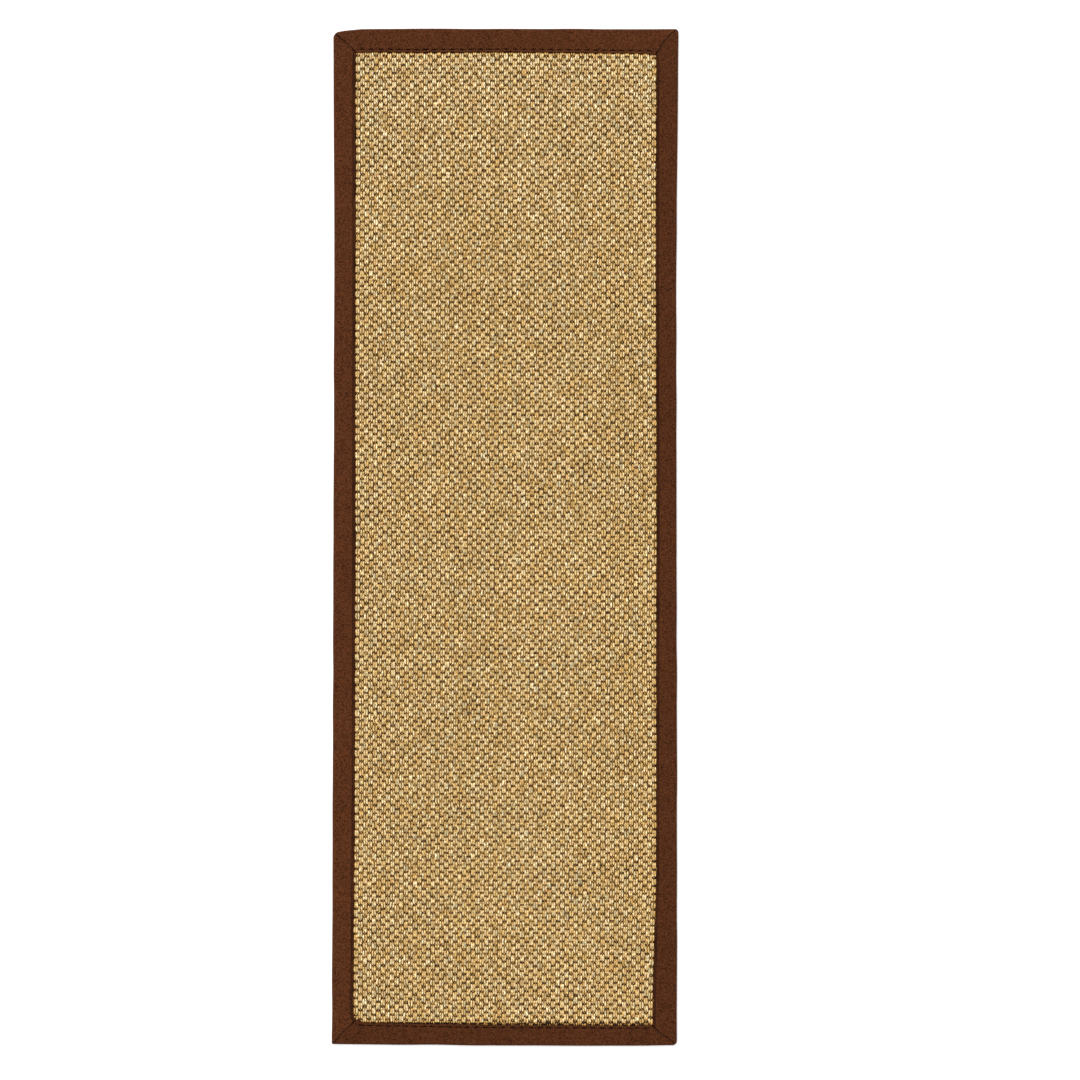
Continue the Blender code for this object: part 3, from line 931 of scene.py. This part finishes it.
def fibre_group():
    """Fine fibres that run along a yarn with the slant of its twist."""
    group, given, made = new_group(
        "fibres", [("Direction", "Float"), ("Across", "Float"), ("Along", "Float")],
        [("Grain", "Float"), ("Streak", "Float"), ("Height", "Float")])
    place = add_node(group, "TexCoord").outputs["Object"]
    turned = add_node(group, "VectorRotate", {"Vector": place, "Angle": given["Direction"]},
                      rotation_type="Z_AXIS").outputs["Vector"]
    scale = add_node(group, "CombineXYZ", {"X": given["Across"], "Y": given["Along"], "Z": given["Across"]})
    stretched = add_node(group, "VectorMath", {0: turned, 1: scale.outputs["Vector"]}, operation="MULTIPLY")
    grain = add_node(group, "TexNoise", {"Vector": stretched.outputs["Vector"], "Scale": 1.0, "Detail": 2.0,
                                         "Roughness": 0.6})
    wide = add_node(group, "VectorMath", {0: stretched.outputs["Vector"], "Scale": 0.31}, operation="SCALE")
    streak = add_node(group, "TexNoise", {"Vector": wide.outputs["Vector"], "Scale": 1.0, "Detail": 1.0})
    group.links.new(grain.outputs["Fac"], made["Grain"])
    group.links.new(streak.outputs["Fac"], made["Streak"])
    height = add_node(group, "Math", {0: grain.outputs["Fac"], 1: streak.outputs["Fac"]}, operation="ADD")
    group.links.new(height.outputs["Value"], made["Height"])
    return group


def patina_group():
    """Slow changes of shade over the whole rug, from light, feet and dust."""
    group, given, made = new_group("patina", [("Depth", "Float")], [("Shade", "Float")])
    place = add_node(group, "TexCoord").outputs["Object"]
    broad = add_node(group, "TexNoise", {"Vector": place, "Scale": 5.0, "Detail": 3.0})
    small = add_node(group, "TexNoise", {"Vector": place, "Scale": 38.0, "Detail": 2.0})
    both = add_node(group, "Math", {0: broad.outputs["Fac"], 1: small.outputs["Fac"]}, operation="ADD")
    centred = add_node(group, "Math", {0: both.outputs["Value"], 1: 1.0}, operation="SUBTRACT")
    shade = add_node(group, "Math", {0: centred.outputs["Value"], 1: given["Depth"], 2: 1.0},
                     operation="MULTIPLY_ADD")
    group.links.new(shade.outputs["Value"], made["Shade"])
    return group


def twill_group():
    """Twill lines, slubs and fine speckle of woven cotton tape that runs in one direction."""
    group, given, made = new_group(
        "twill", [("Direction", "Float"), ("Pitch", "Float")],
        [("Twill", "Float"), ("Slub", "Float"), ("Speckle", "Float"), ("Height", "Float")])
    place = add_node(group, "TexCoord").outputs["Object"]
    turned = add_node(group, "VectorRotate", {"Vector": place, "Angle": given["Direction"]},
                      rotation_type="Z_AXIS").outputs["Vector"]
    slant = add_node(group, "VectorRotate", {"Vector": turned, "Angle": math.radians(52.0)},
                     rotation_type="Z_AXIS").outputs["Vector"]
    wave_scale = add_node(group, "Math", {0: WAVE_PERIOD, 1: given["Pitch"]}, operation="DIVIDE")
    twill = add_node(group, "TexWave", {"Vector": slant, "Scale": wave_scale.outputs["Value"],
                                        "Distortion": 1.2, "Detail": 1.0, "Detail Scale": 1.5})
    threads = add_node(group, "VectorMath", {0: slant, 1: (700.0, 260.0, 700.0)}, operation="MULTIPLY")
    slub = add_node(group, "TexNoise", {"Vector": threads.outputs["Vector"], "Scale": 1.0, "Detail": 2.0})
    speckle = add_node(group, "TexNoise", {"Vector": place, "Scale": 560.0, "Detail": 2.0, "Roughness": 0.6})
    height = add_node(group, "Math", {0: twill.outputs["Fac"], 1: 0.7, 2: speckle.outputs["Fac"]},
                      operation="MULTIPLY_ADD")
    group.links.new(twill.outputs["Fac"], made["Twill"])
    group.links.new(slub.outputs["Fac"], made["Slub"])
    group.links.new(speckle.outputs["Fac"], made["Speckle"])
    group.links.new(height.outputs["Value"], made["Height"])
    return group


def shared_group(name):
    """One of the node groups that several materials use, made the first time it is needed."""
    makers = {"fibres": fibre_group, "patina": patina_group, "twill": twill_group}
    return bpy.data.node_groups.get(name) or makers[name]()


def seagrass_group(settings):
    """Seagrass colour: straw with paler, golder, greener and redder blades, and painted shade: amber on the
    slopes, brown in the dips.
    """
    group, given, made = new_group(
        "seagrass colour", [("Grain", "Float"), ("Streak", "Float")], [("Color", "Color")])
    tone = add_node(group, "Attribute", attribute_name="tone").outputs["Fac"]
    hollow_shade = add_node(group, "Attribute", attribute_name="hollow_shade").outputs["Fac"]
    lively = add_node(group, "Math", {0: given["Grain"], 1: 5.0, 2: tone}, operation="MULTIPLY_ADD")
    straw = blend_colours(group, share_between(group, lively.outputs["Value"], 1.0, 5.0),
                          settings.straw, settings.pale)
    straw = blend_colours(group, share_between(group, lively.outputs["Value"], 1.2, -0.8), straw,
                          settings.gold)
    straw = blend_colours(group, share_between(group, given["Streak"], 0.52, 0.68), straw, settings.green)
    straw = blend_colours(group, share_between(group, given["Streak"], 0.44, 0.28), straw, settings.russet)
    # Painted shade: amber on the slopes and sides, near-black brown in the dips and dark spots.
    rough_hollow_shade = add_node(group, "Math", {0: given["Grain"], 1: -0.7, 2: hollow_shade},
                            operation="MULTIPLY_ADD")
    slopes = share_between(group, rough_hollow_shade.outputs["Value"], -0.40, 0.16)
    dips = share_between(group, rough_hollow_shade.outputs["Value"], 0.32, 0.66)
    straw = blend_colours(group, slopes, straw, settings.slope_shade_amber)
    straw = blend_colours(group, dips, straw, settings.brown)
    speckle = add_node(group, "MapRange", {"Value": given["Grain"], "From Min": 0.30, "From Max": 0.70,
                                           "To Min": 0.22, "To Max": 1.90})
    straw = add_node(group, "VectorMath", {0: straw, "Scale": speckle.outputs["Result"]},
                     operation="SCALE").outputs["Vector"]
    group.links.new(straw, made["Color"])
    return group


def new_material(name):
    """A node material and its shader."""
    material = bpy.data.materials.new(name)
    material.use_nodes = True
    return material, material.node_tree.nodes["Principled BSDF"]


def shaded(tree, colour, depth):
    """The colour under the rug's patina."""
    patina = add_node(tree, "Group", node_tree=shared_group("patina"))
    patina.inputs["Depth"].default_value = depth
    return add_node(tree, "VectorMath", {0: colour, "Scale": patina.outputs["Shade"]},
                    operation="SCALE").outputs["Vector"]


def finish_surface(tree, shader, colour, roughness, height, relief):
    """Link a colour, a roughness between two values by height, and a bump of one depth."""
    tree.links.new(colour, shader.inputs["Base Color"])
    rough = add_node(tree, "MapRange", {"Value": height, "From Min": 0.2, "From Max": 1.4,
                                        "To Min": roughness[0], "To Max": roughness[1]})
    tree.links.new(rough.outputs["Result"], shader.inputs["Roughness"])
    bump = add_node(tree, "Bump", {"Height": height, "Strength": 0.6, "Distance": relief})
    tree.links.new(bump.outputs["Normal"], shader.inputs["Normal"])


def seagrass_material(name, direction, colour):
    """Twisted seagrass yarn whose fibres run in one direction."""
    material, shader = new_material(name)
    tree = material.node_tree
    grain = add_node(tree, "Group", node_tree=shared_group("fibres"))
    grain.inputs["Direction"].default_value = direction
    grain.inputs["Across"].default_value = 780.0
    grain.inputs["Along"].default_value = 260.0
    look = add_node(tree, "Group", node_tree=colour)
    for name in ("Grain", "Streak"):
        tree.links.new(grain.outputs[name], look.inputs[name])
    finish_surface(tree, shader, shaded(tree, look.outputs["Color"], 0.16), (0.70, 0.52),
                   grain.outputs["Height"], 0.6 * MM)
    shader.inputs["Specular IOR Level"].default_value = 0.28
    return material


def cotton_material(settings, name, direction):
    """Chocolate cotton twill tape that runs in one direction."""
    material, shader = new_material(name)
    tree = material.node_tree
    cloth = add_node(tree, "Group", node_tree=shared_group("twill"))
    cloth.inputs["Direction"].default_value = direction
    cloth.inputs["Pitch"].default_value = settings.twill_pitch
    wear_and_sheen = add_node(tree, "Attribute", attribute_name="wear_and_sheen").outputs["Fac"]
    hollow_shade = add_node(tree, "Attribute", attribute_name="hollow_shade").outputs["Fac"]
    colour = blend_colours(tree, share_between(tree, cloth.outputs["Speckle"], 0.36, 0.60),
                           settings.dark, settings.brown)
    colour = blend_colours(tree, share_between(tree, cloth.outputs["Slub"], 0.55, 0.78), colour, settings.red)
    colour = blend_colours(tree, share_between(tree, cloth.outputs["Slub"], 0.44, 0.26), colour,
                           settings.olive)
    lines = add_node(tree, "MapRange", {"Value": cloth.outputs["Twill"], "To Min": 0.80, "To Max": 1.16})
    colour = add_node(tree, "VectorMath", {0: colour, "Scale": lines.outputs["Result"]}, operation="SCALE")
    # Wear and painted sheen: a brighter red in flecks on the outer fold and the inner edge.
    frayed_wear_and_sheen = add_node(tree, "Math", {0: wear_and_sheen, 1: cloth.outputs["Speckle"]}, operation="MULTIPLY")
    edge = [1.5 * part for part in settings.red]
    colour = blend_colours(tree, share_between(tree, frayed_wear_and_sheen.outputs["Value"], 0.30, 0.80),
                           colour.outputs["Vector"], edge)
    tone = add_node(tree, "Attribute", attribute_name="tone").outputs["Fac"]
    colour = add_node(tree, "VectorMath", {0: colour, "Scale": tone}, operation="SCALE").outputs["Vector"]
    # Painted shade: the tape darkens to the colour between its threads, then to near black, where it is
    # pulled down and along the mitre seam.
    colour = blend_colours(tree, share_between(tree, hollow_shade, 0.15, 0.62), colour, settings.dark)
    colour = blend_colours(tree, share_between(tree, hollow_shade, 0.55, 0.85), colour, settings.pit_shade)
    finish_surface(tree, shader, shaded(tree, colour, 0.22), (0.95, 0.80), cloth.outputs["Height"], 0.35 * MM)
    shader.inputs["Specular IOR Level"].default_value = 0.06
    shader.inputs["Sheen Weight"].default_value = 0.01
    shader.inputs["Sheen Roughness"].default_value = 0.5
    return material


def thread_material(settings):
    """Dark polyester thread, with a little shine on its plies."""
    material, shader = new_material("sewing_thread")
    tree = material.node_tree
    grain = add_node(tree, "Group", node_tree=shared_group("fibres"))
    grain.inputs["Direction"].default_value = math.radians(30.0)
    grain.inputs["Across"].default_value = 3000.0
    grain.inputs["Along"].default_value = 900.0
    lighter = [2.2 * part for part in settings.colour]
    colour = blend_colours(tree, grain.outputs["Grain"], settings.colour, lighter)
    finish_surface(tree, shader, shaded(tree, colour, 0.10), (0.42, 0.62), grain.outputs["Height"], 0.05 * MM)
    shader.inputs["Specular IOR Level"].default_value = 0.2
    return material


def latex_material(settings):
    """Matt natural latex, aged in patches, with fine pores."""
    material, shader = new_material("natural_latex")
    tree = material.node_tree
    place = add_node(tree, "TexCoord").outputs["Object"]
    cloud = add_node(tree, "TexNoise", {"Vector": place, "Scale": 14.0, "Detail": 4.0, "Roughness": 0.65})
    pores = add_node(tree, "TexVoronoi", {"Vector": place, "Scale": 420.0})
    grit = add_node(tree, "TexNoise", {"Vector": place, "Scale": 900.0, "Detail": 2.0})
    colour = blend_colours(tree, share_between(tree, cloud.outputs["Fac"], 0.35, 0.70), settings.cream,
                           settings.tan)
    colour = blend_colours(tree, share_between(tree, pores.outputs["Distance"], 0.30, 0.02), colour,
                           settings.tan)
    height = add_node(tree, "Math", {0: pores.outputs["Distance"], 1: grit.outputs["Fac"]}, operation="ADD")
    finish_surface(tree, shader, shaded(tree, colour, 0.25), (0.92, 0.74), height.outputs["Value"], 0.25 * MM)
    shader.inputs["Specular IOR Level"].default_value = 0.3
    return material


# ---- Operators ----

class RUG_OT_lengthwise_yarns(bpy.types.Operator):
    """Weave in the paired yarns that run along the rug"""
    bl_idname = "rug.lengthwise_yarns"
    bl_label = "Lengthwise yarns"

    def execute(self, context):
        settings = context.scene.rug_weave
        rows = row_places(settings.row_pitch)
        material = seagrass_material("lengthwise_seagrass", math.radians(-14.0), seagrass_group(settings))
        half = round(FIELD_X / settings.pair_pitch)
        first, piece = -half, 0
        while first <= half:
            columns = min(PAIRS_IN_A_PIECE, half + 1 - first)
            mesh = lengthwise_yarns(settings, rows, first, columns, 100 + piece)
            add_piece(f"lengthwise_yarns_{piece:02d}", mesh, "seagrass", material, "seagrass_weave")
            first += columns
            piece += 1
        return {"FINISHED"}


class RUG_OT_crosswise_yarns(bpy.types.Operator):
    """Weave in the single yarns that run across the rug"""
    bl_idname = "rug.crosswise_yarns"
    bl_label = "Crosswise yarns"

    def execute(self, context):
        settings = context.scene.rug_weave
        rows = row_places(settings.row_pitch)
        material = seagrass_material("crosswise_seagrass", math.radians(76.0),
                                     bpy.data.node_groups["seagrass colour"])
        columns = 2 * (round(FIELD_X / settings.pair_pitch) + 1)
        cuts = np.linspace(0, len(rows), CROSSWISE_PIECES + 1).round().astype(int)
        for piece, (first, last) in enumerate(zip(cuts, cuts[1:])):
            mesh = crosswise_yarns(settings, rows, first, last, columns, 300 + piece)
            add_piece(f"crosswise_yarns_{piece}", mesh, "seagrass", material, "seagrass_weave")
        return {"FINISHED"}


class RUG_OT_backing(bpy.types.Operator):
    """Lay the latex sheet under the weave"""
    bl_idname = "rug.backing"
    bl_label = "Latex backing"

    def execute(self, context):
        settings, weave = context.scene.rug_backing, context.scene.rug_weave
        mesh = backing_mesh(settings, weave.pair_pitch, weave.row_pitch)
        add_piece("latex_sheet", mesh, "latex", latex_material(settings), "latex_backing")
        return {"FINISHED"}


class RUG_OT_tape(bpy.types.Operator):
    """Fold the cotton tape round all four sides"""
    bl_idname = "rug.tape"
    bl_label = "Binding tape"

    def execute(self, context):
        settings, pitch = context.scene.rug_tape, context.scene.rug_weave.pair_pitch
        materials = {"long": cotton_material(settings, "long_cotton_twill", math.radians(90.0)),
                     "short": cotton_material(settings, "short_cotton_twill", 0.0)}
        for side in SIDES:
            material = materials["short" if side in SHORT_SIDES else "long"]
            add_piece("border_tape_" + side, tape_mesh(settings, pitch, side), "cotton_tape", material,
                      "border_" + side)
        return {"FINISHED"}


class RUG_OT_stitches(bpy.types.Operator):
    """Sew the tape down with lockstitch and close its mitres"""
    bl_idname = "rug.stitches"
    bl_label = "Stitches"

    def execute(self, context):
        settings, pitch = context.scene.rug_thread, context.scene.rug_weave.pair_pitch
        material = thread_material(settings)
        for side in SIDES:
            for kind, under in (("needle", False), ("bobbin", True)):
                mesh = thread_mesh(settings, f"{kind}_stitches", stitch_line(settings, pitch, side, under))
                add_piece(f"{kind}_stitches_{side}", mesh, "thread", material, f"{kind}_thread_{side}")
        for corner in CORNER_NAMES:
            mesh = thread_mesh(settings, "mitre_stitches", mitre_line(settings, pitch, corner))
            add_piece("mitre_stitches_" + corner, mesh, "thread", material, "mitre_thread_" + corner)
        self.declare_tape(context)
        return {"FINISHED"}

    def declare_tape(self, context):
        """Does nothing."""


# Half the floor's width, and how far it lies below the rug
FLOOR_HALF = 12.0
FLOOR_GAP = 0.2 * MM

# Way that the soft key light shines, and how wide it is
KEY_WAY = (0.45, -0.62, -1.0)
KEY_SPREAD = math.radians(35.0)

# Where the camera stands over the floor, how far it is turned, and its sensor's width in millimetres
VIEW_MIDDLE = (0.0617, -0.0044)
VIEW_TURN = math.radians(0.11)
SENSOR_WIDTH = 36.0


class RUG_OT_stage(bpy.types.Operator):
    """Lay the floor, and set up the light and the camera"""
    bl_idname = "rug.stage"
    bl_label = "Stage"

    def execute(self, context):
        settings = context.scene.rug_stage
        mesh = bpy.data.meshes.new("floor")
        corners = [(-FLOOR_HALF, -FLOOR_HALF, 0), (FLOOR_HALF, -FLOOR_HALF, 0),
                   (FLOOR_HALF, FLOOR_HALF, 0), (-FLOOR_HALF, FLOOR_HALF, 0)]
        mesh.from_pydata(corners, [], [(0, 1, 2, 3)])
        floor = bpy.data.objects.new("floor", mesh)
        context.collection.objects.link(floor)
        material, shader = new_material("floor_white")
        shader.inputs["Base Color"].default_value = (0.92, 0.92, 0.92, 1.0)
        shader.inputs["Roughness"].default_value = 0.9
        shader.inputs["Emission Color"].default_value = (1.0, 1.0, 1.0, 1.0)
        shader.inputs["Emission Strength"].default_value = settings.floor_glow
        mesh.materials.append(material)
        floor.location.z = -FLOOR_GAP
        world = bpy.data.worlds.new("studio")
        context.scene.world = world
        world.use_nodes = True
        background = world.node_tree.nodes["Background"]
        background.inputs["Color"].default_value = (1.0, 1.0, 1.0, 1.0)
        background.inputs["Strength"].default_value = settings.fill
        data = bpy.data.lights.new("key", "SUN")
        data.angle = KEY_SPREAD
        data.energy = settings.key
        lamp = bpy.data.objects.new("key", data)
        context.collection.objects.link(lamp)
        lamp.rotation_mode = "QUATERNION"
        lamp.rotation_quaternion = Vector(KEY_WAY).to_track_quat("-Z", "Y")
        data = bpy.data.cameras.new("camera")
        data.lens = settings.lens
        data.sensor_width = SENSOR_WIDTH
        camera = bpy.data.objects.new("camera", data)
        context.collection.objects.link(camera)
        height = CAD_HIGH[2] + settings.view_width * settings.lens / SENSOR_WIDTH
        camera.location = (*VIEW_MIDDLE, height)
        camera.rotation_euler = (0.0, 0.0, VIEW_TURN)
        data.clip_end = 100.0
        context.scene.camera = camera
        context.scene.view_settings.view_transform = "Standard"
        return {"FINISHED"}


class RUG_PT_panel(bpy.types.Panel):
    """The rug's steps, in the order that they are run"""
    bl_idname = "RUG_PT_panel"
    bl_label = "Runner rug"
    bl_space_type = "VIEW_3D"
    bl_region_type = "UI"
    bl_category = "Rug"

    def draw(self, context):
        for step in STEPS:
            self.layout.operator(step.bl_idname)


STEPS = (RUG_OT_lengthwise_yarns, RUG_OT_crosswise_yarns, RUG_OT_backing, RUG_OT_tape,
         RUG_OT_stitches, RUG_OT_stage)
SETTINGS = {"rug_weave": RugWeaveSettings, "rug_tape": RugTapeSettings, "rug_thread": RugThreadSettings,
            "rug_backing": RugBackingSettings, "rug_stage": RugStageSettings}
CLASSES = (*SETTINGS.values(), *STEPS, RUG_PT_panel)


def register():
    """Register the add-on's classes and its settings."""
    for one in CLASSES:
        bpy.utils.register_class(one)
    for name, kind in SETTINGS.items():
        setattr(bpy.types.Scene, name, PointerProperty(type=kind))


def unregister():
    """Remove the settings and the classes."""
    for name in SETTINGS:
        delattr(bpy.types.Scene, name)
    for one in reversed(CLASSES):
        bpy.utils.unregister_class(one)


def main():
    """Make the whole rug."""
    register()
    bpy.ops.rug.lengthwise_yarns()
    bpy.ops.rug.crosswise_yarns()
    bpy.ops.rug.backing()
    bpy.ops.rug.tape()
    bpy.ops.rug.stitches()
    bpy.ops.rug.stage()


if __name__ == "__main__":
    main()
